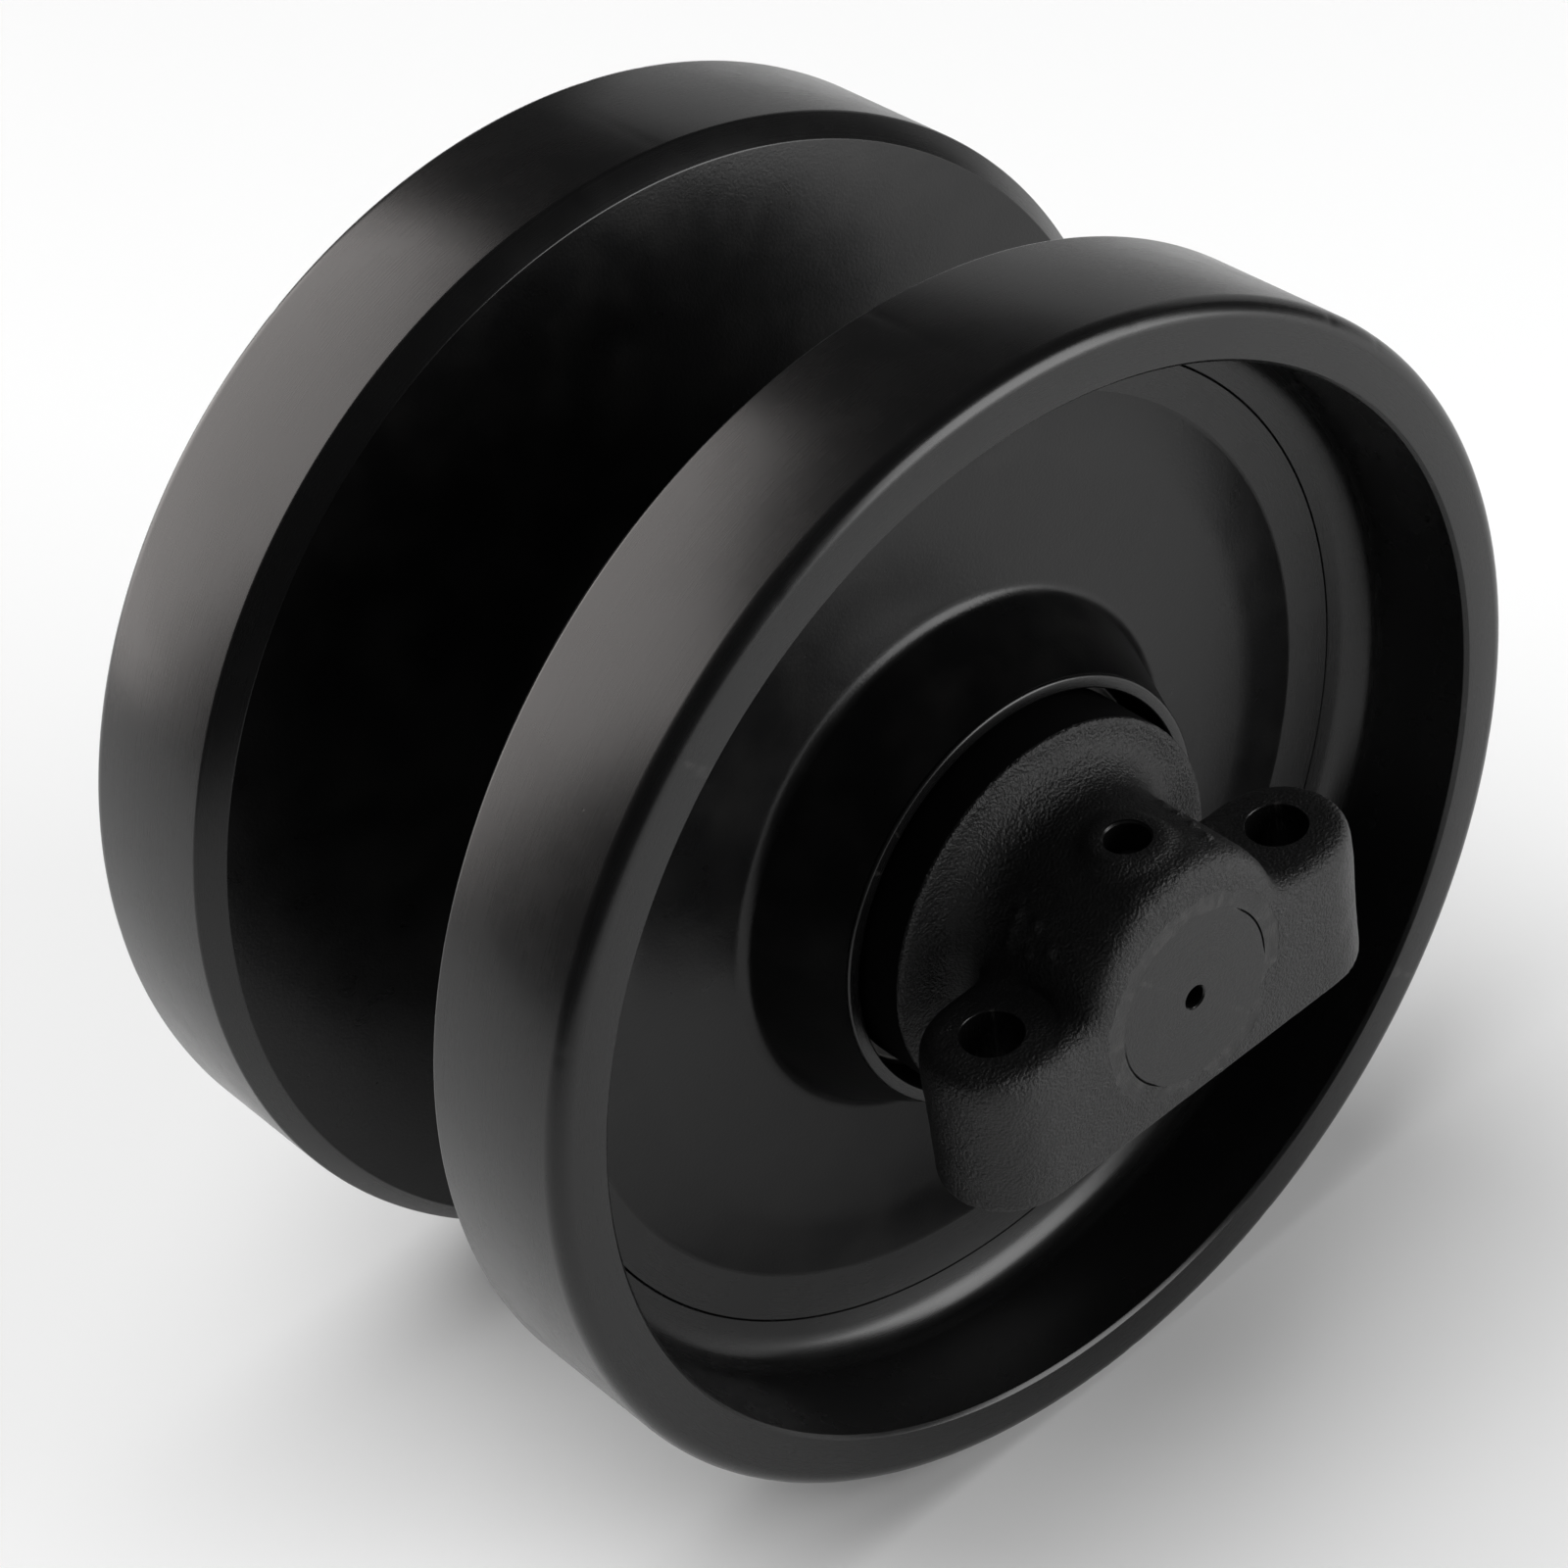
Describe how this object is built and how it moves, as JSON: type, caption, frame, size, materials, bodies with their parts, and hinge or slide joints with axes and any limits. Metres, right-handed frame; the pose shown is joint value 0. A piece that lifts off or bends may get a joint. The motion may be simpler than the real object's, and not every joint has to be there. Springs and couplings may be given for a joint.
{
  "type": "track roller",
  "caption": "Twin-rim track roller with a deep centre groove, running on a fixed shaft between two cast end collars that bolt to a track frame.",
  "frame": {"origin": "on the shaft axis, midway between the two rims", "axes": "+Y along the shaft, +Z away from the machined feet of the collars, which face -Z"},
  "size_m": [0.3559, 0.3056, 0.356],
  "materials": {
    "shell_paint": "semi-gloss black paint over turned steel",
    "cast_paint": "satin black paint over sand-cast iron",
    "shaft_steel": "ground steel, its end faces painted satin black",
    "bushing_bronze": "sintered bronze, oiled",
    "pin_steel": "black paint over hardened steel",
    "seal_iron": "lapped white iron",
    "seal_rubber": "matt nitrile rubber",
    "plug_steel": "black painted steel with a dry hexagon socket"
  },
  "bodies": {
    "axle": {"shaft": "shaft_steel", "collar_left": "cast_paint", "collar_right": "cast_paint", "lock_pin_left": "pin_steel", "lock_pin_right": "pin_steel", "shaft_oring_left": "seal_rubber", "shaft_oring_right": "seal_rubber", "seal_ring_fixed_left": "seal_iron", "seal_ring_fixed_right": "seal_iron", "seal_toric_fixed_left": "seal_rubber", "seal_toric_fixed_right": "seal_rubber", "oil_fill_plug": "plug_steel"},
    "wheel": {"roller_shell_left": "shell_paint", "roller_shell_right": "shell_paint", "shell_weld_bead": "shell_paint", "bushing_left": "bushing_bronze", "bushing_right": "bushing_bronze", "seal_ring_turning_left": "seal_iron", "seal_ring_turning_right": "seal_iron", "seal_toric_turning_left": "seal_rubber", "seal_toric_turning_right": "seal_rubber"}
  },
  "joints": [
    {"name": "roller_spin", "type": "hinge", "parent": "axle", "child": "wheel", "pos_m": [0, 0, 0], "axis": [0, 1, 0], "continuous": true}
  ]
}
